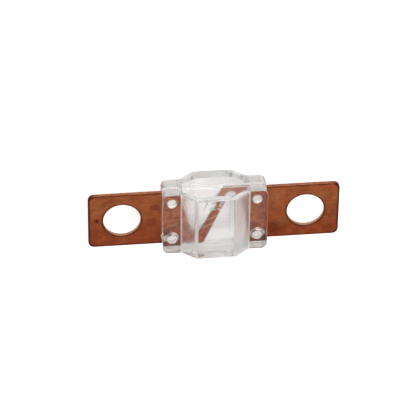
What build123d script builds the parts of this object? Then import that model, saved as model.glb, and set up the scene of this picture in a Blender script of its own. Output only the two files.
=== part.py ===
"""Bolt down strip fuse: one stamped copper strip held between two clear half covers.

The strip lies flat, with X along it and Z along the studs that go through its blades. The
origin is the middle of the strip, in its mid plane, where the two half covers meet.
"""

import os
from math import cos, radians, sin, tan

from build123d import *

# Strip, in millimetres
strip_width = 10.2
strip_thickness = 0.6
blade_corner_radius = 1.0
stud_spacing = 30.0
stud_hole_diameter = 6.1
stud_to_blade_end = 5.5
edge_break = 0.08

# Fusing strap, measured on the mid line of the strip, with its angles in degrees from Y
strap_width = 1.4
strap_shift = -0.35
strap_left_lean = 27.0
strap_right_lean = 23.5
strap_end_radius = 0.8

# Notches on both sides of the strap, with the copper left past the root of each
left_notch_flare = 20.5
left_notch_radius = 0.2
left_notch_web = 2.15
right_notch_flare = 14.0
right_notch_radius = 0.9
right_notch_web = 1.1

# Groove pressed across the strap, where it melts
neck_length = 1.1
neck_depth = 0.1
neck_offset = -0.7
neck_slant = 24.0

# Half cover, the same moulding above and below the strip
cover_length = 17.1
cover_width = 11.7
flange_height = 2.3
cover_height = 4.2
chamber_base_length = 11.0
chamber_top_length = 6.4
flange_corner_radius = 1.0
chamber_edge_radius = 0.12
outer_edge_radius = 0.2

# Room inside the chamber, which has its own slope under the sloped outer wall
front_wall = 1.6
side_wall = 0.95
room_base_length = 10.4
room_top_length = 5.9
room_step_height = 1.1
room_edge_radius = 0.15

# Pegs on one long side of a half, which pass through the strip into the other half
peg_diameter = 1.6
peg_reach = 1.1
peg_end_chamfer = 0.1
peg_spacing = 13.9
peg_offset = 3.4

# Round marks that the ejector pins leave between the pegs, on the seat of the strip
ejector_diameter = 2.0
ejector_depth = 0.05

# Clearances
strip_peg_clearance = 0.08
socket_side_clearance = 0.05
socket_end_clearance = 0.06
strip_side_clearance = 0.06
strip_seat_clearance = 0.03
parting_clearance = 0.03

# Levels and places worked out from the sizes above
half_strip = strip_thickness / 2
seat_height = half_strip + strip_seat_clearance
parting_height = parting_clearance / 2
peg_places = [(-peg_spacing / 2, peg_offset), (peg_spacing / 2, peg_offset)]
socket_places = [(x, -y) for x, y in peg_places]
past = 1.0  # how far a cutting shape runs past the piece it cuts


def notch(side_x, lean, flare, web, radius):
    """Flat shape of the left notch: a V open at the +Y edge, with a round root.

    side_x is where the strap's side crosses the mid line, and web is the copper left
    between the root and the other edge of the strip.
    """
    half_angle = radians(lean + flare) / 2
    middle_turn = radians(lean - flare) / 2
    arc_rise = radius / sin(half_angle) * cos(middle_turn) - radius
    apex_y = web - strip_width / 2 - arc_rise
    open_y = strip_width / 2 + past
    apex_x = side_x + apex_y * tan(radians(lean))
    outline = Polyline(
        (apex_x, apex_y),
        (side_x + open_y * tan(radians(lean)), open_y),
        (apex_x - (open_y - apex_y) * tan(radians(flare)), open_y),
        close=True,
    )
    shape = make_face(outline)
    return fillet(shape.vertices().sort_by(Axis.Y)[0], radius)


def strip_outline():
    """Flat shape of the stamped strip, with its notches and all its holes."""
    strip_length = stud_spacing + 2 * stud_to_blade_end
    shape = RectangleRounded(strip_length, strip_width, blade_corner_radius)
    shape -= notch(
        strap_shift - strap_width / 2,
        strap_left_lean,
        left_notch_flare,
        left_notch_web,
        left_notch_radius,
    )
    shape -= Rot(0, 0, 180) * notch(
        -strap_shift - strap_width / 2,
        strap_right_lean,
        right_notch_flare,
        right_notch_web,
        right_notch_radius,
    )
    on_edge = shape.vertices().filter_by(
        lambda v: abs(abs(v.Y) - strip_width / 2) < 0.001 and v.X * v.Y > 0
    )
    strap_ends = on_edge.sort_by(lambda v: abs(v.X))[:2]
    shape = fillet(strap_ends, strap_end_radius)
    for side in (-1, 1):
        shape -= Pos(side * stud_spacing / 2, 0) * Circle(stud_hole_diameter / 2)
    for x, y in peg_places + socket_places:
        shape -= Pos(x, y) * Circle(peg_diameter / 2 + strip_peg_clearance)
    return shape


def make_strip():
    """Stamped strip, its upper edges broken by the die, with a groove across its strap."""
    strip = Pos(0, 0, -half_strip) * extrude(strip_outline(), strip_thickness)
    strip = chamfer(strip.faces().sort_by(Axis.Z)[-1].edges(), edge_break)
    mean_lean = radians(strap_left_lean + strap_right_lean) / 2
    neck_x = strap_shift + neck_offset * tan(mean_lean)
    groove = Rot(0, 0, neck_slant) * Box(2.2 * strap_width, neck_length, 2 * neck_depth)
    for face_z in (-half_strip, half_strip):
        strip -= Pos(neck_x, neck_offset, face_z) * groove
    return strip


def side_profile(base_length, top_length, start, step, height):
    """Stepped side view of one half: upright to the step, then sloped in to its height."""
    base_x = base_length / 2
    top_x = top_length / 2
    points = [(base_x, start), (base_x, step), (top_x, height)]
    mirrored = [(-x, z) for x, z in reversed(points)]
    return make_face(Polyline(*points, *mirrored, close=True))


def cover_outer():
    """Outer form of a half cover: a raised chamber with sloped ends between two flanges."""
    flange = Rectangle(cover_length, flange_height - parting_height)
    flange = Pos(0, (flange_height + parting_height) / 2) * flange
    chamber = side_profile(
        chamber_base_length, chamber_top_length, parting_height, flange_height, cover_height
    )
    profile = flange + chamber
    corners = profile.vertices().filter_by(
        lambda v: v.Y > flange_height - 0.001 and abs(v.X) < chamber_base_length / 2 + 0.001
    )
    profile = fillet(corners, chamber_edge_radius)
    body = extrude(Plane.XZ * profile, cover_width / 2, both=True)
    body = fillet(body.edges().filter_by(Axis.Z), flange_corner_radius)
    walls = body.faces().filter_by(lambda f: abs(f.normal_at().Z) < 0.001)
    rim = walls.edges().filter_by(lambda e: e.bounding_box().min.Z > parting_height + 0.001)
    return fillet(rim, outer_edge_radius)


def room():
    """Room inside the chamber, over the strap and its notches."""
    ceiling = cover_height - front_wall
    profile = side_profile(room_base_length, room_top_length, -past, room_step_height, ceiling)
    corners = profile.vertices().filter_by(lambda v: v.Y > ceiling - 0.001)
    profile = fillet(corners, room_edge_radius)
    return extrude(Plane.XZ * profile, cover_width / 2 - side_wall, both=True)


def peg():
    """Peg that hangs from the strip's seat and reaches into the other half."""
    radius = peg_diameter / 2
    side_view = Polyline(
        (0, seat_height + past / 2),
        (radius, seat_height + past / 2),
        (radius, peg_end_chamfer - peg_reach),
        (radius - peg_end_chamfer, -peg_reach),
        (0, -peg_reach),
        close=True,
    )
    return revolve(Plane.XZ * make_face(side_view), Axis.Z)


def make_cover():
    """Half cover above the strip: hollow, with a seat for the strip, two pegs, two sockets."""
    cover = cover_outer() - room()
    seat_width = strip_width + 2 * strip_side_clearance
    cover -= Box(cover_length + 2 * past, seat_width, 2 * seat_height)
    socket_radius = peg_diameter / 2 + socket_side_clearance
    for x, y in socket_places:
        cover -= Pos(x, y) * Cylinder(socket_radius, 2 * (peg_reach + socket_end_clearance))
    for side in (-1, 1):
        mark = Cylinder(ejector_diameter / 2, 2 * (seat_height + ejector_depth))
        cover -= Pos(side * peg_spacing / 2, 0) * mark
    for x, y in peg_places:
        cover += Pos(x, y) * peg()
    return cover


def main():
    os.makedirs("parts", exist_ok=True)
    upper_cover = make_cover()
    pieces = {
        "fuse_strip": make_strip(),
        "upper_cover": upper_cover,
        "lower_cover": Rot(180, 0, 0) * upper_cover,
    }
    for name, piece in pieces.items():
        export_step(piece, f"parts/{name}.step")


main()
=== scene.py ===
"""Bolt down strip fuse in Blender: copper and clear plastic, a raised number, light and camera.

Everything is in metres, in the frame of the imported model: X along the strip, Z along the
studs, and the origin in the middle of the strip. The materials read places in millimetres
of the same frame, and their colours are linear.
"""

from math import hypot, radians
from types import SimpleNamespace

import bpy
from mathutils import Matrix, Vector


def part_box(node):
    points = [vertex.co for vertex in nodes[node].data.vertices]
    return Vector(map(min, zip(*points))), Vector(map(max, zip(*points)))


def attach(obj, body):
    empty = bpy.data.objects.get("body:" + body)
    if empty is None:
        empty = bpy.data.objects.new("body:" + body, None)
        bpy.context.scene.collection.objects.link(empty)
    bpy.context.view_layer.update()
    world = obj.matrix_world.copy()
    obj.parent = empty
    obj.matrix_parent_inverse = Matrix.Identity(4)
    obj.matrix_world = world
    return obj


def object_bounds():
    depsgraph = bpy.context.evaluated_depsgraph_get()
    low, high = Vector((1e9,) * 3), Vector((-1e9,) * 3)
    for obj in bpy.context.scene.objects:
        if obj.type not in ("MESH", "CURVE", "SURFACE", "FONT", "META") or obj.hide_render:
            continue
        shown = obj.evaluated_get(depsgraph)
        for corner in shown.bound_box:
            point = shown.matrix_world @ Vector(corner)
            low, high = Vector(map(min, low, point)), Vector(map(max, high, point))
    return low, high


MM = 0.001

# Camera, as the photograph shows the fuse
IMAGE_SIZE = 420
FOCAL_PIXELS = 2886
SENSOR_WIDTH = 36
VIEW_DISTANCE = 0.4691
VIEW_TILT = radians(36.48)
VIEW_TURN = radians(6.96)
VIEW_ROLL = radians(-0.83)
ORIGIN_PIXEL = (213.8, 214.1)
NEAR_CLIP = 0.01

# Raised number on the upper cover
NUMBER = "125"
NUMBER_HEIGHT = 1.55 * MM
NUMBER_STRETCH = 0.95
NUMBER_SLANT = 0.3
NUMBER_SPACING = 1.25
NUMBER_BOLDNESS = 0.02
NUMBER_CURVE_STEPS = 4
NUMBER_CENTRE = (-0.8 * MM, 4.65 * MM)
NUMBER_RISE = 0.12 * MM
NUMBER_GAP = 0.01 * MM

# Places on the strip, in millimetres from its middle, and the soft border between finishes
STUD_PLACE = 15.0
STUD_HOLE_RADIUS = 3.05
CORNER_RADIUS = 1.0
GROOVE_CENTRE = (-0.68, -0.7)
GROOVE_SLANT = radians(24)
GROOVE_HALF_LENGTH = 0.55
STRAP_REACH = 2.65
COVER_REACH = 8.55
SLOPE_MIDDLE = 4.4
SLOPE_REACH = 1.25
SOFT_BORDER = 0.25

# Places on the covers, in millimetres: the foot and the top edge of the chamber's sloped
# ends, each along and up, then the pegs with the gap round them, and the long sides
CHAMBER_FOOT = (5.5, 2.3)
CHAMBER_BROW = (3.2, 4.2)
PEG_PLACE = (6.95, 3.4)
PEG_RADIUS = 0.85
LONG_SIDE = 5.85

# Bumps of the copper's grain and the plastic's ripple, and their strengths
BUMP_HEIGHT = 0.02 * MM
COPPER_BUMP = 0.3
PLASTIC_BUMP = 0.15

# Copper of the rolled faces, from dark to light
CLOUD_TONES = ((0.27, 0.062, 0.023), (0.4, 0.108, 0.04), (0.52, 0.165, 0.064))
GRAIN_TONES = ((0.27, 0.06, 0.022), (0.5, 0.165, 0.07))
STREAK_TONES = ((0.25, 0.06, 0.024), (0.55, 0.2, 0.09))
BROWN_STAIN = (0.3, 0.12, 0.035)
RED_STAIN = (0.44, 0.085, 0.034)
DARK_RIM = (0.09, 0.016, 0.008)
DARK_CORNER = (0.035, 0.008, 0.004)
DARK_END = (0.1, 0.016, 0.007)
# Painted highlight on the edges of the groove across the strap
PAINTED_GROOVE_HIGHLIGHT = (0.8, 0.5, 0.36)
# Painted light in the sockets round the pegs, on the copper just outside them
PAINTED_SOCKET_LIGHT = (0.85, 0.8, 0.76)
GRAIN_SHARE = 0.4
STREAK_SHARE = 0.15
STAIN_SHARE = 0.5
COPPER_ROUGHNESS = (0.36, 0.5)

# Copper of the cut faces
CUT_TONES = ((0.27, 0.09, 0.043), (0.42, 0.17, 0.085))
CUT_IN_HOLES = (0.5, 0.27, 0.17)
CUT_AT_ENDS = (0.08, 0.02, 0.01)
# Painted shade on the cut faces under the covers, duller and more olive
PAINTED_SHADE_ON_COVERED_CUT = (0.26, 0.15, 0.105)

# Factors on the copper: painted shade across the strip, darker towards -Y and lighter towards
# +Y, and patches under the covers, with painted light under the slopes and a painted sheen on
# the strap
PAINTED_SHADE_ACROSS = ((0.95, 0.72, 0.66), (1.25, 1.27, 1.22))
MOTTLE = ((0.74, 0.65, 0.5), (1.06, 1.08, 0.9))
WIDE_MOTTLE = ((0.82, 0.74, 0.66), (1.12, 1.2, 1.2))
PAINTED_LIGHT_UNDER_SLOPES = ((1.55, 1.6, 1.5), (1.2, 1.15, 1.05))
PAINTED_SHEEN_ON_STRAP = (1.12, 1.22, 1.15)

# Patches on the copper: centre, radius and soft border in millimetres, colour and strength
COPPER_SPOTS = (
    ((-19.1, 0.15), 0.05, 0.35, (0.08, 0.02, 0.01), 0.8),
    ((11.4, -1.9), 0.5, 0.7, (0.34, 0.19, 0.06), 0.6),
    ((10.2, 3.1), 0.2, 0.7, (0.4, 0.19, 0.08), 0.5),
    ((-9.6, 2.3), 0.3, 0.7, (0.2, 0.045, 0.018), 0.55),
    ((-10.3, -0.9), 0.4, 0.7, (0.22, 0.05, 0.02), 0.45),
    ((9.6, -3.0), 0.7, 1.0, (0.2, 0.045, 0.018), 0.6),
)

# The same under the covers, beside the pegs on the -Y side
COVERED_SPOTS = (
    ((-7.55, -2.6), 0.5, 0.6, (0.13, 0.04, 0.012), 0.8),
    ((-7.9, -4.6), 0.4, 0.4, (0.13, 0.045, 0.016), 0.7),
    ((6.4, -2.4), 0.4, 0.6, (0.14, 0.042, 0.013), 0.65),
    ((8.1, -4.5), 0.2, 0.4, (0.15, 0.05, 0.018), 0.6),
    # The last two patches, pale, are painted light in the gaps round the pegs
    ((-8.05, -3.5), 0.4, 0.3, (0.9, 0.85, 0.8), 0.9),
    ((7.9, -3.2), 0.3, 0.25, (0.8, 0.72, 0.65), 0.7),
)

# Tints of the clear plastic
PLASTIC_TONES = ((0.95, 0.945, 0.94), (0.98, 0.977, 0.973))
# The next three are painted shade on the plastic towards the -Y side
PAINTED_SHADE_NEAR_EDGE = (0.75, 0.74, 0.73)
PAINTED_SHADE_NEAR_FLANGE_EDGE = (0.81, 0.79, 0.77)
PAINTED_SHADE_NEAR_WALL = (0.92, 0.91, 0.9)
PEG_TINT = (0.99, 0.985, 0.98)
# Painted light on the plastic of the far flanges
PAINTED_LIGHT_ON_FAR_FLANGES = (1.0, 0.985, 0.975)
PARTING_TINT = (0.8, 0.77, 0.75)
# Painted refraction: the copper seen through the upper slopes, painted on the plastic as pink
FAINT_PAINTED_COPPER = (0.85, 0.72, 0.68)
DEEP_PAINTED_COPPER = (0.74, 0.58, 0.52)
STRAIGHT_TINT = (0.95, 0.945, 0.94)
REFLECTION_TINT = (0.7, 0.7, 0.7)

# Roughness of the plastic, and what is added to it on the upper slopes, left and right, at
# the chamber's top edges and on the long sides
PLASTIC_ROUGHNESS = (0.1, 0.16)
SLOPE_DULLING = (0.15, 0.22)
BROW_DULLING = 0.4
SIDE_DULLING = 0.06

# Share of light let through by the plastic where it is cloudy
CLEAR_AT_FOOT = 0.55
CLEAR_AT_BROW = 0.65
CLEAR_AT_PARTING = 0.78
CLEAR_ON_SLOPE = 0.95
CLEAR_ON_SIDES = 0.4

# How the plastic bends and reflects light, and what its body takes away in each metre
PLASTIC_IOR = 1.58
REFLECTION_LEVEL = 0.3
PLASTIC_BODY = (0.06, 0.03, 0.0)
PLASTIC_DENSITY = 25.0

# Bounces past which light goes straight on through the plastic
LAST_GLOSSY_BOUNCE = 3.5
LAST_BOUNCE = 8.5

# Light and floor
WORLD_STRENGTH = 0.55
WORLD_GLOW_IN_PLASTIC = 0.35
LAMP_SIZE = 0.3
FLOOR_SIZE = 3.0
FLOOR_GAP = 0.02 * MM
FLOOR_COLOUR = (0.8, 0.8, 0.8)
FLOOR_GLOW = 0.65
FLOOR_GLOW_IN_PLASTIC = 0.43


def new_material(name):
    """Empty node material, with its tree and its output node."""
    material = bpy.data.materials.new(name)
    material.use_nodes = True
    tree = material.node_tree
    tree.nodes.clear()
    output = tree.nodes.new("ShaderNodeOutputMaterial")
    return material, tree, output


def feed(tree, socket, value):
    """Gives an input its value, which is another node's output, a number or a colour."""
    if isinstance(value, bpy.types.NodeSocket):
        tree.links.new(value, socket)
    elif socket.type == "RGBA":
        socket.default_value = (*value[:3], 1.0)
    else:
        socket.default_value = value


def add_node(tree, kind, **inputs):
    """New node with its inputs set by name. An underscore stands for a space in a name."""
    node = tree.nodes.new(kind)
    for name, value in inputs.items():
        feed(tree, node.inputs[name.replace("_", " ")], value)
    return node


def colour_ramp(tree, factor, *stops):
    """Colour ramp through (position, colour) stops."""
    node = add_node(tree, "ShaderNodeValToRGB", Fac=factor)
    elements = node.color_ramp.elements
    while len(elements) < len(stops):
        elements.new(0.5)
    for element, (position, colour) in zip(elements, stops):
        element.position = position
        element.color = (*colour, 1.0)
    return node.outputs["Color"]


def map_range(tree, value, low, high, to_low=0.0, to_high=1.0):
    """Value mapped from low..high to to_low..to_high, clamped and smooth."""
    node = add_node(
        tree,
        "ShaderNodeMapRange",
        Value=value,
        From_Min=low,
        From_Max=high,
        To_Min=to_low,
        To_Max=to_high,
    )
    node.interpolation_type = "SMOOTHSTEP"
    return node.outputs["Result"]


def within(tree, away, reach):
    """1 up to a reach in millimetres and 0 past it, with a soft border."""
    return map_range(tree, away, reach - SOFT_BORDER, reach + SOFT_BORDER, 1.0, 0.0)


def mix_colour(tree, factor, first, second, blend="MIX"):
    """Mix of two colours, each a socket or a colour."""
    node = tree.nodes.new("ShaderNodeMix")
    node.data_type = "RGBA"
    node.blend_type = blend
    # The node has the same names for each kind of data, so its inputs go by number
    for index, value in ((0, factor), (6, first), (7, second)):
        feed(tree, node.inputs[index], value)
    return node.outputs[2]


def mix_shader(tree, factor, first, second):
    """Mix of two shaders."""
    node = tree.nodes.new("ShaderNodeMixShader")
    for socket, source in zip(node.inputs, (factor, first, second)):
        tree.links.new(source, socket)
    return node.outputs["Shader"]


def maths(tree, operation, *values):
    """Result of a sum on numbers or sockets."""
    node = tree.nodes.new("ShaderNodeMath")
    node.operation = operation
    for socket, value in zip(node.inputs, values):
        feed(tree, socket, value)
    return node.outputs["Value"]


def chain(tree, operation, *values):
    """Result of the same sum on one number or socket after another."""
    result = values[0]
    for value in values[1:]:
        result = maths(tree, operation, result, value)
    return result


def rest_of(tree, share):
    """What is left of one when a share is taken away."""
    return maths(tree, "SUBTRACT", 1.0, share)


def vectors(tree, operation, *values):
    """Result of a sum on vectors: a number for LENGTH and DOT_PRODUCT, or else a vector."""
    node = tree.nodes.new("ShaderNodeVectorMath")
    node.operation = operation
    for socket, value in zip(node.inputs, values):
        feed(tree, socket, value)
    return node.outputs["Value" if operation in ("LENGTH", "DOT_PRODUCT") else "Vector"]


def split(tree, vector):
    """The X, Y and Z parts of a vector."""
    node = add_node(tree, "ShaderNodeSeparateXYZ", Vector=vector)
    return [node.outputs[axis] for axis in "XYZ"]


def place_in_mm(tree):
    """Place on the piece in its own frame, in millimetres."""
    place = tree.nodes.new("ShaderNodeTexCoord")
    return vectors(tree, "MULTIPLY", place.outputs["Object"], (1000.0, 1000.0, 1000.0))


def facing(tree):
    """The X, Y and Z parts of the direction that a face looks in."""
    geometry = tree.nodes.new("ShaderNodeNewGeometry")
    return split(tree, geometry.outputs["True Normal"])


def noise(tree, place, stretch, scale, detail=3.0, roughness=0.55):
    """Noise on a place in millimetres, stretched by a factor along each axis."""
    node = add_node(
        tree,
        "ShaderNodeTexNoise",
        Vector=vectors(tree, "MULTIPLY", place, stretch),
        Scale=scale,
        Detail=detail,
        Roughness=roughness,
    )
    return node.outputs["Fac"]


def distance(tree, place, centre):
    """Distance of a place from a centre."""
    return vectors(tree, "LENGTH", vectors(tree, "SUBTRACT", place, centre))


def add_spots(tree, colour, flat, uneven, spots):
    """Colour with a list of round patches on it, each with an uneven border."""
    for centre, radius, soft, tint, strength in spots:
        away = maths(tree, "ADD", distance(tree, flat, (*centre, 0.0)), uneven)
        patch = map_range(tree, away, radius, radius + soft, 1.0, 0.0)
        colour = mix_colour(tree, maths(tree, "MULTIPLY", patch, strength), colour, tint)
    return colour


def rolled_face(tree, place, cloud, grain, stains):
    """Colour of the rolled faces: clouds, grain, streaks along the strip, and stains."""
    dark, middle, light = CLOUD_TONES
    face = colour_ramp(tree, cloud, (0.36, dark), (0.5, middle), (0.64, light))
    dark, light = GRAIN_TONES
    grained = colour_ramp(tree, grain, (0.3, dark), (0.7, light))
    face = mix_colour(tree, GRAIN_SHARE, face, grained)
    streaks = noise(tree, place, (0.1, 1.0, 1.0), 3.2, detail=2.0)
    dark, light = STREAK_TONES
    streaked = colour_ramp(tree, streaks, (0.3, dark), (0.7, light))
    face = mix_colour(tree, STREAK_SHARE, face, streaked)
    brown = map_range(tree, stains, 0.54, 0.66, 0.0, STAIN_SHARE)
    face = mix_colour(tree, brown, face, BROWN_STAIN)
    red = map_range(tree, stains, 0.47, 0.36, 0.0, STAIN_SHARE)
    return mix_colour(tree, red, face, RED_STAIN)


def mottle_and_painted_light(tree, grain, stains, along, from_middle, on_strap):
    """Factor on the copper under the covers: patchy, with painted light under the slopes and a
    painted sheen on the strap.
    """
    fine = colour_ramp(tree, grain, (0.4, MOTTLE[0]), (0.6, MOTTLE[1]))
    wide = colour_ramp(tree, stains, (0.42, WIDE_MOTTLE[0]), (0.6, WIDE_MOTTLE[1]))
    mottle = mix_colour(tree, 1.0, fine, wide, "MULTIPLY")
    # Painted light on the copper under the slopes, stronger on the left, then a painted sheen
    # on the strap
    from_slope = maths(tree, "SUBTRACT", from_middle, SLOPE_MIDDLE)
    under_slope = within(tree, maths(tree, "ABSOLUTE", from_slope), SLOPE_REACH)
    to_right = map_range(tree, along, -1.0, 1.0)
    slope_light = mix_colour(tree, to_right, *PAINTED_LIGHT_UNDER_SLOPES)
    painted_lit = mix_colour(tree, 1.0, mottle, slope_light, "MULTIPLY")
    mottle = mix_colour(tree, under_slope, mottle, painted_lit)
    painted_lit = mix_colour(tree, 1.0, mottle, PAINTED_SHEEN_ON_STRAP, "MULTIPLY")
    return mix_colour(tree, on_strap, mottle, painted_lit)


def painted_socket_rings(tree, face, from_middle, across):
    """Painted light: pale rings round the strip's holes on the -Y side, for the light in the
    sockets.
    """
    folded = add_node(tree, "ShaderNodeCombineXYZ", X=from_middle, Y=across)
    centre = (PEG_PLACE[0], -PEG_PLACE[1], 0.0)
    from_hole = distance(tree, folded.outputs["Vector"], centre)
    ring = map_range(tree, from_hole, PEG_RADIUS + 0.2, PEG_RADIUS + 0.35, 0.8, 0.0)
    return mix_colour(tree, ring, face, PAINTED_SOCKET_LIGHT)


def dark_rims(tree, face, folded, from_middle, hole_gap, uneven):
    """Darker colour along the strip's edges, in its corners, at its ends and round its stud
    holes.
    """
    half_length, half_width, _ = (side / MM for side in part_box("fuse_strip")[1])
    corner = (half_length - CORNER_RADIUS, half_width - CORNER_RADIUS, 0.0)
    past_corner = vectors(tree, "SUBTRACT", folded, corner)
    past_corner = vectors(tree, "MAXIMUM", past_corner, (0.0, 0.0, 0.0))
    edge_gap = maths(tree, "SUBTRACT", CORNER_RADIUS, vectors(tree, "LENGTH", past_corner))
    gap = maths(tree, "MINIMUM", hole_gap, edge_gap)
    gap = maths(tree, "ADD", gap, maths(tree, "MULTIPLY", uneven, 0.25))
    rim = map_range(tree, gap, 0.05, 0.45, 0.85, 0.0)
    face = mix_colour(tree, rim, face, DARK_RIM)
    in_corner = maths(tree, "MULTIPLY", *split(tree, past_corner)[:2])
    in_corner = map_range(tree, in_corner, 0.05, 0.4, 0.0, 0.85)
    face = mix_colour(tree, in_corner, face, DARK_CORNER)
    near_ends = map_range(tree, from_middle, half_length - 0.55, half_length, 0.0, 0.7)
    return mix_colour(tree, near_ends, face, DARK_END)


def painted_groove_highlights(tree, face, flat, on_strap):
    """Painted highlights: bright lines where the groove across the strap begins and ends."""
    turned = add_node(
        tree,
        "ShaderNodeVectorRotate",
        Vector=flat,
        Center=(*GROOVE_CENTRE, 0.0),
        Axis=(0.0, 0.0, 1.0),
        Angle=-GROOVE_SLANT,
    )
    from_groove = split(tree, turned.outputs["Vector"])[1]
    from_groove = maths(tree, "SUBTRACT", from_groove, GROOVE_CENTRE[1])
    from_groove = maths(tree, "ABSOLUTE", from_groove)
    from_edge = maths(tree, "SUBTRACT", from_groove, GROOVE_HALF_LENGTH)
    on_edge = map_range(tree, maths(tree, "ABSOLUTE", from_edge), 0.06, 0.18, 0.9, 0.0)
    on_edge = maths(tree, "MULTIPLY", on_edge, on_strap)
    return mix_colour(tree, on_edge, face, PAINTED_GROOVE_HIGHLIGHT)


def cut_face(tree, grain, from_middle, hole_gap, covered):
    """Colour of the cut faces: paler in the stud holes, dark at the strip's ends, and with
    painted shade under the covers.
    """
    dark, light = CUT_TONES
    cut = colour_ramp(tree, grain, (0.35, dark), (0.65, light))
    in_hole = map_range(tree, hole_gap, 0.02, 0.1, 1.0, 0.0)
    cut = mix_colour(tree, in_hole, cut, CUT_IN_HOLES)
    half_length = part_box("fuse_strip")[1][0] / MM
    at_ends = map_range(tree, from_middle, half_length - 1.4, half_length - 0.6, 0.0, 0.8)
    cut = mix_colour(tree, at_ends, cut, CUT_AT_ENDS)
    return mix_colour(tree, maths(tree, "MULTIPLY", covered, 0.75), cut, PAINTED_SHADE_ON_COVERED_CUT)


def copper():
    """Tarnished rolled copper, dark along its rims and paler where it was cut, with painted
    shade and painted light on it.
    """
    material, tree, output = new_material("rolled_copper")
    place = place_in_mm(tree)
    along, across, _ = split(tree, place)
    flat = vectors(tree, "MULTIPLY", place, (1.0, 1.0, 0.0))
    folded = vectors(tree, "ABSOLUTE", flat)
    from_middle = split(tree, folded)[0]
    cloud = noise(tree, place, (1.0, 1.0, 1.0), 0.32, detail=5.0, roughness=0.62)
    grain = noise(tree, place, (0.6, 1.0, 1.0), 2.2, detail=4.0)
    stains = noise(tree, place, (1.0, 1.0, 0.0), 0.55, detail=4.0, roughness=0.7)
    uneven = maths(tree, "MULTIPLY", maths(tree, "SUBTRACT", stains, 0.5), 2.2)

    face = rolled_face(tree, place, cloud, grain, stains)
    face = add_spots(tree, face, flat, uneven, COPPER_SPOTS)
    # Painted shade across the strip: darker towards -Y, lighter towards +Y
    tone = mix_colour(tree, map_range(tree, across, -5.0, 4.5), *PAINTED_SHADE_ACROSS)
    face = mix_colour(tree, 1.0, face, tone, "MULTIPLY")
    covered = within(tree, from_middle, COVER_REACH)
    on_strap = within(tree, from_middle, STRAP_REACH)
    mottle = mottle_and_painted_light(tree, grain, stains, along, from_middle, on_strap)
    mottled_and_lit = mix_colour(tree, 1.0, face, mottle, "MULTIPLY")
    face = mix_colour(tree, covered, face, mottled_and_lit)
    face = painted_socket_rings(tree, face, from_middle, across)
    face = add_spots(tree, face, flat, uneven, COVERED_SPOTS)

    from_stud = distance(tree, folded, (STUD_PLACE, 0.0, 0.0))
    hole_gap = maths(tree, "SUBTRACT", from_stud, STUD_HOLE_RADIUS)
    face = dark_rims(tree, face, folded, from_middle, hole_gap, uneven)
    face = painted_groove_highlights(tree, face, flat, on_strap)
    cut = cut_face(tree, grain, from_middle, hole_gap, covered)
    level = maths(tree, "ABSOLUTE", facing(tree)[2])
    colour = mix_colour(tree, map_range(tree, level, 0.9, 0.4), face, cut)

    bump = add_node(
        tree, "ShaderNodeBump", Height=grain, Strength=COPPER_BUMP, Distance=BUMP_HEIGHT
    )
    shader = add_node(
        tree,
        "ShaderNodeBsdfPrincipled",
        Base_Color=colour,
        Metallic=1.0,
        Roughness=map_range(tree, cloud, 0.3, 0.7, *COPPER_ROUGHNESS),
        Normal=bump.outputs["Normal"],
    )
    tree.links.new(shader.outputs["BSDF"], output.inputs["Surface"])
    return material


def cover_zones(tree, place):
    """Parts of a cover, as sockets that its colour, roughness and clearness share.

    x and y are places, and names that start with from_ are distances, in millimetres. The
    others run from 0 off their part of the cover to 1 on it. Right is the +X side, and
    sideways is for faces that look along Y.
    """
    x, y, z = split(tree, place)
    folded = vectors(tree, "ABSOLUTE", place)
    from_middle, from_centre_line, from_parting = split(tree, folded)
    face_x, face_y, face_z = facing(tree)

    tilt = maths(tree, "ABSOLUTE", maths(tree, "MULTIPLY", face_x, face_z))
    slope = map_range(tree, tilt, 0.25, 0.45)
    upper = map_range(tree, z, -0.5, 0.5)
    right = map_range(tree, x, -1.0, 1.0)
    foot_x, foot_z = CHAMBER_FOOT
    brow_x, brow_z = CHAMBER_BROW
    seen_from_side = (1.0, 0.0, 1.0)
    past_foot = vectors(tree, "SUBTRACT", folded, (foot_x, 0.0, foot_z))
    past_foot = vectors(tree, "MULTIPLY", past_foot, seen_from_side)
    past_brow = vectors(tree, "SUBTRACT", folded, (brow_x, 0.0, brow_z))
    past_brow = vectors(tree, "MULTIPLY", past_brow, seen_from_side)
    run, rise = foot_x - brow_x, brow_z - foot_z
    inward = (-rise / hypot(run, rise), 0.0, -run / hypot(run, rise))
    seen_from_top = (1.0, 1.0, 0.0)
    past_peg = vectors(tree, "SUBTRACT", folded, (*PEG_PLACE, 0.0))
    past_peg = vectors(tree, "MULTIPLY", past_peg, seen_from_top)
    sideways = maths(tree, "ABSOLUTE", face_y)
    return SimpleNamespace(
        x=x,
        y=y,
        right=right,
        upper_slope=maths(tree, "MULTIPLY", slope, upper),
        lower_right_slope=chain(tree, "MULTIPLY", slope, rest_of(tree, upper), right),
        flange=map_range(tree, from_middle, foot_x - 0.3, foot_x + 0.5),
        sideways=sideways,
        outer_side=maths(
            tree,
            "MULTIPLY",
            map_range(tree, sideways, 0.6, 0.9),
            map_range(tree, from_centre_line, LONG_SIDE - 0.55, LONG_SIDE - 0.25),
        ),
        from_parting=from_parting,
        from_foot=vectors(tree, "LENGTH", past_foot),
        from_brow=vectors(tree, "LENGTH", past_brow),
        from_slope=vectors(tree, "DOT_PRODUCT", past_foot, inward),
        from_peg=vectors(tree, "LENGTH", past_peg),
    )


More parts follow.
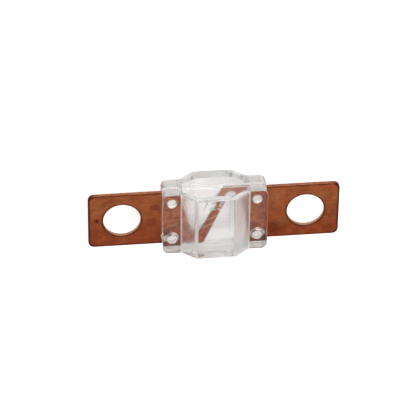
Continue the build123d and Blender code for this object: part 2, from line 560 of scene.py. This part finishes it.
def painted_copper_colour(tree, colour, place, zones):
    """Colour with a faint painted pink on the upper slopes: a painted image of the copper seen
    through them.
    """
    at_left = maths(
        tree,
        "MULTIPLY",
        map_range(tree, zones.x, -3.9, -4.8),
        map_range(tree, zones.y, -1.0, 2.0),
    )
    at_right = chain(
        tree,
        "MULTIPLY",
        map_range(tree, zones.x, 4.6, 3.9),
        zones.right,
        map_range(tree, zones.y, -4.5, 0.5),
    )
    streaks = noise(tree, place, (1.5, 0.3, 1.0), 1.0)
    faint = chain(
        tree,
        "MULTIPLY",
        maths(tree, "MAXIMUM", at_left, at_right),
        zones.upper_slope,
        map_range(tree, streaks, 0.35, 0.6, 0.4, 1.0),
    )
    colour = mix_colour(tree, faint, colour, FAINT_PAINTED_COPPER)
    left_foot = maths(
        tree,
        "MULTIPLY",
        map_range(tree, zones.x, -4.5, -5.0),
        map_range(tree, zones.y, 0.5, 2.5),
    )
    right_foot = chain(
        tree,
        "MULTIPLY",
        map_range(tree, zones.x, 4.4, 4.8),
        map_range(tree, zones.y, 2.5, 0.5),
        map_range(tree, zones.y, -4.8, -3.0),
    )
    at_feet = maths(tree, "MAXIMUM", left_foot, right_foot)
    deep = maths(tree, "MULTIPLY", zones.upper_slope, at_feet)
    return mix_colour(tree, deep, colour, DEEP_PAINTED_COPPER)


def plastic_colour(tree, place, zones, tone):
    """Tint of the plastic: painted shade towards the -Y side, painted light on the far flanges,
    and darker at the parting line.
    """
    cloud = noise(tree, place, (1.0, 1.0, 1.0), 0.16, detail=2.0)
    dark, light = PLASTIC_TONES
    colour = colour_ramp(tree, cloud, (0.3, dark), (0.7, light))
    colour = mix_colour(tree, 1.0, colour, (tone, tone, tone), "MULTIPLY")
    near_edge = maths(
        tree,
        "MULTIPLY",
        map_range(tree, zones.y, -1.0, -4.4),
        rest_of(tree, zones.lower_right_slope),
    )
    edge_shade = mix_colour(tree, zones.flange, PAINTED_SHADE_NEAR_EDGE, PAINTED_SHADE_NEAR_FLANGE_EDGE)
    colour = mix_colour(tree, near_edge, colour, edge_shade)
    near_wall = maths(
        tree,
        "MULTIPLY",
        map_range(tree, zones.y, -4.7, -5.1),
        rest_of(tree, zones.flange),
    )
    colour = mix_colour(tree, near_wall, colour, PAINTED_SHADE_NEAR_WALL)
    in_peg = map_range(tree, zones.from_peg, PEG_RADIUS, PEG_RADIUS + 0.15, 1.0, 0.0)
    colour = mix_colour(tree, in_peg, colour, PEG_TINT)
    far_flange = maths(tree, "MULTIPLY", map_range(tree, zones.y, 3.5, 5.0), zones.flange)
    colour = mix_colour(tree, far_flange, colour, PAINTED_LIGHT_ON_FAR_FLANGES)
    at_parting = map_range(tree, zones.from_parting, 0.05, 0.3, 0.3, 0.0)
    colour = mix_colour(tree, at_parting, colour, PARTING_TINT)
    return painted_copper_colour(tree, colour, place, zones)


def plastic_roughness(tree, zones, ripple):
    """Roughness of the plastic: more on the upper slopes, at top edges and on long sides."""
    dulling = map_range(tree, zones.x, -1.0, 1.0, *SLOPE_DULLING)
    return chain(
        tree,
        "ADD",
        map_range(tree, ripple, 0.3, 0.7, *PLASTIC_ROUGHNESS),
        maths(tree, "MULTIPLY", zones.upper_slope, dulling),
        map_range(tree, zones.sideways, 0.6, 0.9, 0.0, SIDE_DULLING),
        map_range(tree, zones.from_brow, 0.15, 0.4, BROW_DULLING, 0.0),
    )


def plastic_clearness(tree, zones, clearness):
    """Share of light let through: less at edges, on the upper slopes and on long sides."""
    shoulder = maths(
        tree,
        "MULTIPLY",
        map_range(tree, zones.from_slope, 0.7, 0.95, 1.0, 0.0),
        map_range(tree, zones.from_parting, 2.1, 2.4),
    )
    flange = maths(tree, "MULTIPLY", zones.flange, 0.5)
    milky = maths(tree, "MAXIMUM", shoulder, flange)
    milky = maths(tree, "MULTIPLY", milky, zones.outer_side)
    lowest = chain(
        tree,
        "MINIMUM",
        map_range(tree, zones.from_foot, 0.1, 0.22, CLEAR_AT_FOOT, 1.0),
        map_range(tree, zones.from_brow, 0.1, 0.3, CLEAR_AT_BROW, 1.0),
        map_range(tree, zones.from_parting, 0.12, 0.3, CLEAR_AT_PARTING, 1.0),
        map_range(tree, zones.upper_slope, 0.1, 0.9, 1.0, CLEAR_ON_SLOPE),
        map_range(tree, milky, 0.0, 1.0, 1.0, CLEAR_ON_SIDES),
    )
    return maths(tree, "MULTIPLY", lowest, clearness)


def clear_plastic(name, clearness, tone):
    """Clear moulded plastic with a faint unevenness, and a dull finish on its slopes.

    clearness is the share of light let through, and tone scales the colour.
    """
    material, tree, output = new_material(name)
    place = place_in_mm(tree)
    zones = cover_zones(tree, place)
    ripple = noise(tree, place, (1.0, 1.0, 1.0), 0.5, detail=2.0)
    bump = add_node(
        tree, "ShaderNodeBump", Height=ripple, Strength=PLASTIC_BUMP, Distance=BUMP_HEIGHT
    )
    shader = add_node(
        tree,
        "ShaderNodeBsdfPrincipled",
        Base_Color=plastic_colour(tree, place, zones, tone),
        Roughness=plastic_roughness(tree, zones, ripple),
        IOR=PLASTIC_IOR,
        Specular_IOR_Level=REFLECTION_LEVEL,
        Specular_Tint=REFLECTION_TINT,
        Transmission_Weight=plastic_clearness(tree, zones, clearness),
        Normal=bump.outputs["Normal"],
    )
    path = tree.nodes.new("ShaderNodeLightPath")
    straight_on = chain(
        tree,
        "MAXIMUM",
        maths(tree, "GREATER_THAN", path.outputs["Glossy Depth"], LAST_GLOSSY_BOUNCE),
        maths(tree, "GREATER_THAN", path.outputs["Ray Depth"], LAST_BOUNCE),
        path.outputs["Is Shadow Ray"],
    )
    straight = add_node(tree, "ShaderNodeBsdfTransparent", Color=STRAIGHT_TINT)
    surface = mix_shader(tree, straight_on, shader.outputs["BSDF"], straight.outputs["BSDF"])
    tree.links.new(surface, output.inputs["Surface"])
    body = add_node(
        tree, "ShaderNodeVolumeAbsorption", Color=PLASTIC_BODY, Density=PLASTIC_DENSITY
    )
    tree.links.new(body.outputs["Volume"], output.inputs["Volume"])
    return material


def floor_material():
    """White floor that keeps a soft shadow, and glows only where it is seen as background."""
    material, tree, output = new_material("pale_floor")
    diffuse = add_node(tree, "ShaderNodeBsdfDiffuse", Color=FLOOR_COLOUR)
    path = tree.nodes.new("ShaderNodeLightPath")
    direct = maths(tree, "MULTIPLY", path.outputs["Is Camera Ray"], FLOOR_GLOW)
    through = maths(
        tree, "MAXIMUM", path.outputs["Is Glossy Ray"], path.outputs["Is Transmission Ray"]
    )
    strength = maths(tree, "MULTIPLY_ADD", through, FLOOR_GLOW_IN_PLASTIC, direct)
    glow = add_node(tree, "ShaderNodeEmission", Strength=strength)
    both = tree.nodes.new("ShaderNodeAddShader")
    tree.links.new(diffuse.outputs["BSDF"], both.inputs[0])
    tree.links.new(glow.outputs["Emission"], both.inputs[1])
    tree.links.new(both.outputs["Shader"], output.inputs["Surface"])
    return material


def number_mesh():
    """Flat number as a closed mesh, one unit thick, in font units."""
    letters = bpy.data.curves.new("raised_number", "FONT")
    letters.body = NUMBER
    letters.align_x = "CENTER"
    letters.align_y = "CENTER"
    letters.resolution_u = NUMBER_CURVE_STEPS
    letters.extrude = 0.5
    letters.shear = NUMBER_SLANT
    letters.offset = NUMBER_BOLDNESS
    letters.space_character = NUMBER_SPACING
    source = bpy.data.objects.new("raised_number_source", letters)
    bpy.context.collection.objects.link(source)
    bpy.context.view_layer.update()
    graph = bpy.context.evaluated_depsgraph_get()
    mesh = bpy.data.meshes.new_from_object(source.evaluated_get(graph))
    bpy.data.objects.remove(source)
    return mesh


def raised_number(cover_top, material):
    """Plain number moulded on the flat top of the upper cover."""
    mesh = number_mesh()
    heights = [vertex.co.y for vertex in mesh.vertices]
    scale = NUMBER_HEIGHT / (max(heights) - min(heights))
    middle = cover_top + NUMBER_GAP + NUMBER_RISE / 2
    sizes = Matrix.Diagonal((scale * NUMBER_STRETCH, scale, NUMBER_RISE, 1.0))
    mesh.transform(Matrix.Translation((*NUMBER_CENTRE, middle)) @ sizes)
    number = bpy.data.objects.new("raised_number", mesh)
    bpy.context.collection.objects.link(number)
    mesh.materials.clear()
    mesh.materials.append(material)
    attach(number, "root")


def dress(node, material):
    """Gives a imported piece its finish."""
    node.data.materials.clear()
    node.data.materials.append(material)


def add_area_light(name, position, power):
    """Soft square lamp that faces the origin."""
    lamp = bpy.data.lights.new(name, "AREA")
    lamp.shape = "SQUARE"
    lamp.size = LAMP_SIZE
    lamp.energy = power
    holder = bpy.data.objects.new(name, lamp)
    holder.location = position
    holder.rotation_euler = Vector(position).to_track_quat("Z", "Y").to_euler()
    bpy.context.collection.objects.link(holder)


def add_lights():
    """Even white surroundings, with one soft lamp beyond the fuse and one over it."""
    world = bpy.data.worlds.new("white_room")
    world.use_nodes = True
    tree = world.node_tree
    tree.nodes.clear()
    output = tree.nodes.new("ShaderNodeOutputWorld")
    path = tree.nodes.new("ShaderNodeLightPath")
    in_plastic = path.outputs["Is Transmission Ray"]
    strength = maths(tree, "MULTIPLY_ADD", in_plastic, WORLD_GLOW_IN_PLASTIC, WORLD_STRENGTH)
    white = (1.0, 1.0, 1.0)
    light = add_node(tree, "ShaderNodeBackground", Color=white, Strength=strength)
    backdrop = add_node(tree, "ShaderNodeBackground", Color=white, Strength=1.0)
    surface = mix_shader(
        tree,
        path.outputs["Is Camera Ray"],
        light.outputs["Background"],
        backdrop.outputs["Background"],
    )
    tree.links.new(surface, output.inputs["Surface"])
    bpy.context.scene.world = world
    add_area_light("beyond_lamp", position=(0.05, 0.35, 0.4), power=0.9)
    add_area_light("top_lamp", position=(0.3, 0.05, 0.4), power=0.6)


def add_floor(level):
    """Wide pale floor under the fuse."""
    half = FLOOR_SIZE / 2
    turns = ((-1, -1), (1, -1), (1, 1), (-1, 1))
    corners = [(side_x * half, side_y * half, level) for side_x, side_y in turns]
    mesh = bpy.data.meshes.new("floor")
    mesh.from_pydata(corners, [], [(0, 1, 2, 3)])
    mesh.materials.append(floor_material())
    floor = bpy.data.objects.new("floor", mesh)
    bpy.context.collection.objects.link(floor)


def add_camera():
    """Camera that sees the fuse as the photograph does."""
    lens = bpy.data.cameras.new("camera")
    lens.sensor_width = SENSOR_WIDTH
    lens.lens = FOCAL_PIXELS * SENSOR_WIDTH / IMAGE_SIZE
    lens.clip_start = NEAR_CLIP
    camera = bpy.data.objects.new("camera", lens)
    turn = (
        Matrix.Rotation(VIEW_ROLL, 4, "Z")
        @ Matrix.Rotation(VIEW_TILT, 4, "X")
        @ Matrix.Rotation(VIEW_TURN, 4, "Y")
    )
    pixel = VIEW_DISTANCE / FOCAL_PIXELS
    aside = (IMAGE_SIZE / 2 - ORIGIN_PIXEL[0]) * pixel
    above = (ORIGIN_PIXEL[1] - IMAGE_SIZE / 2) * pixel
    camera.matrix_world = turn.transposed() @ Matrix.Translation((aside, above, VIEW_DISTANCE))
    bpy.context.collection.objects.link(camera)
    bpy.context.scene.camera = camera


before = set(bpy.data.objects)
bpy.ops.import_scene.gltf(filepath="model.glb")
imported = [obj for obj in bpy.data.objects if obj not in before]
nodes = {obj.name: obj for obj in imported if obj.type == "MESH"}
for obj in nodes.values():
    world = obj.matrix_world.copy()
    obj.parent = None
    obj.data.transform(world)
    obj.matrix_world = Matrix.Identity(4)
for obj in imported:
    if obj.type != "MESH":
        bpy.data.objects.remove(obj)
cad_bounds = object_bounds()

plastic = clear_plastic("clear_moulded_plastic", clearness=1.0, tone=1.0)
raised_plastic = clear_plastic("raised_plastic", clearness=0.6, tone=0.8)
dress(nodes["fuse_strip"], copper())
dress(nodes["upper_cover"], plastic)
dress(nodes["lower_cover"], plastic)
raised_number(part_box("upper_cover")[1][2], raised_plastic)

add_floor(cad_bounds[0][2] - FLOOR_GAP)
add_lights()
add_camera()
bpy.context.scene.view_settings.view_transform = "Standard"
